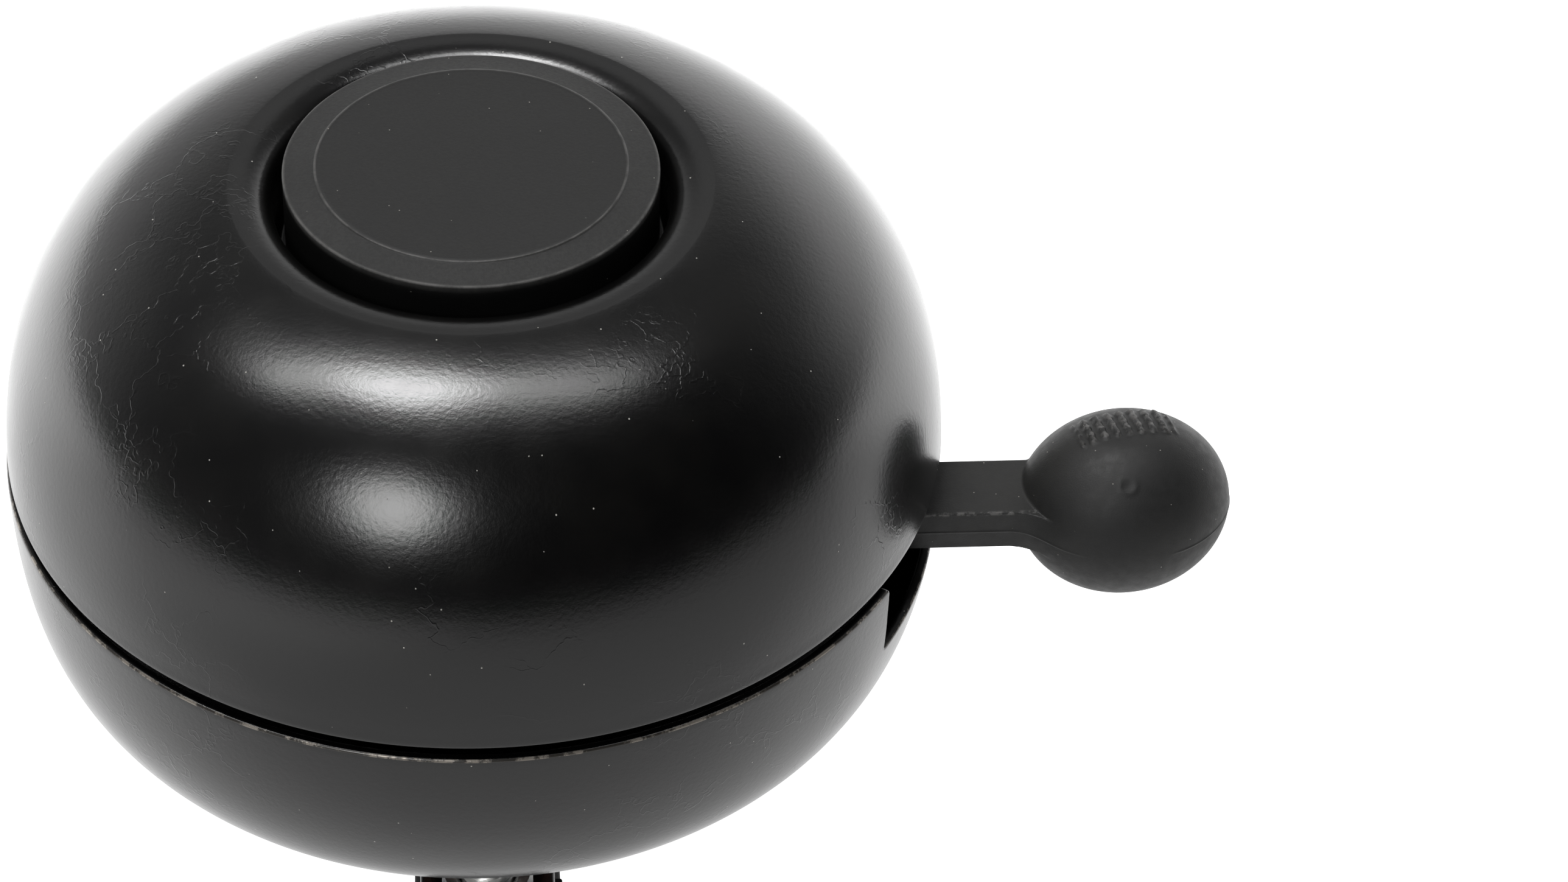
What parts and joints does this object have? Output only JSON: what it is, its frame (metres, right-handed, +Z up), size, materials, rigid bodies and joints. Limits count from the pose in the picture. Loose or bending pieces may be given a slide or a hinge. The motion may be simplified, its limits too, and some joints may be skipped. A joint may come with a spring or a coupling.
{
  "type": "bicycle bell",
  "caption": "Two-tone bicycle bell: steel bowls rim to rim, a sprung thumb lever that swings a geared hammer between them, and a handlebar clamp.",
  "frame": {"origin": "on the handlebar's axis, in the middle of the clamp, straight below the bell", "axes": "+Z up along the bell's axis, +X along the handlebar towards the thumb knob, -Y the way the thumb pushes the knob"},
  "size_m": [0.1051, 0.0804, 0.0855],
  "materials": {
    "bowl_paint": "satin black paint on steel, with fine orange peel",
    "cap_plastic": "fine-grained black plastic, smoother on the disc",
    "lever_plastic": "matte black moulded plastic",
    "gear_plastic": "natural nylon",
    "zinc_steel": "zinc-plated steel",
    "spring_steel": "bright spring steel",
    "fibre": "red-brown vulcanised fibre",
    "rubber": "black rubber"
  },
  "bodies": {
    "bell_body": {"upper_bowl": "bowl_paint", "lower_bowl": "bowl_paint", "top_cap": "cap_plastic", "centre_post": "zinc_steel", "lower_bowl_seat_bottom": "fibre", "lower_bowl_seat_top": "fibre", "lower_spacer": "zinc_steel", "mechanism_plate": "zinc_steel", "thrust_washer": "gear_plastic", "lever_bush": "zinc_steel", "lever_retainer": "zinc_steel", "return_spring": "spring_steel", "upper_spacer": "zinc_steel", "upper_bowl_seat_bottom": "fibre", "upper_bowl_seat_top": "fibre", "top_washer": "zinc_steel", "top_nut": "zinc_steel", "rest_bumper": "rubber", "press_bumper": "rubber", "hammer_pin": "zinc_steel", "hammer_clip": "spring_steel", "clamp_band": "bowl_paint", "clamp_liner": "rubber", "clamp_screw": "zinc_steel", "clamp_nut": "zinc_steel"},
    "lever": {"thumb_lever": "lever_plastic"},
    "hammer": {"hammer_rocker": "gear_plastic", "upper_hammer_arm": "spring_steel", "lower_hammer_arm": "spring_steel", "arm_spacer": "zinc_steel", "upper_hammer_head": "zinc_steel", "lower_hammer_head": "zinc_steel"}
  },
  "joints": [
    {"name": "lever_pivot", "type": "hinge", "parent": "bell_body", "child": "lever", "pos_m": [0, 0, 0.044], "axis": [0, 0, 1], "range_deg": [-16, 0], "stiffness_Nm_per_rad": 0.12, "springref_deg": 20.05, "deforming": ["return_spring"]},
    {"name": "hammer_pivot", "type": "hinge", "parent": "bell_body", "child": "hammer", "pos_m": [-0.017, 0, 0.044], "axis": [0, 0, 1], "range_deg": [0, 38.4]}
  ],
  "couplings": [
    {"joint": "hammer_pivot", "follows": "lever_pivot", "ratio": -2.4}
  ]
}
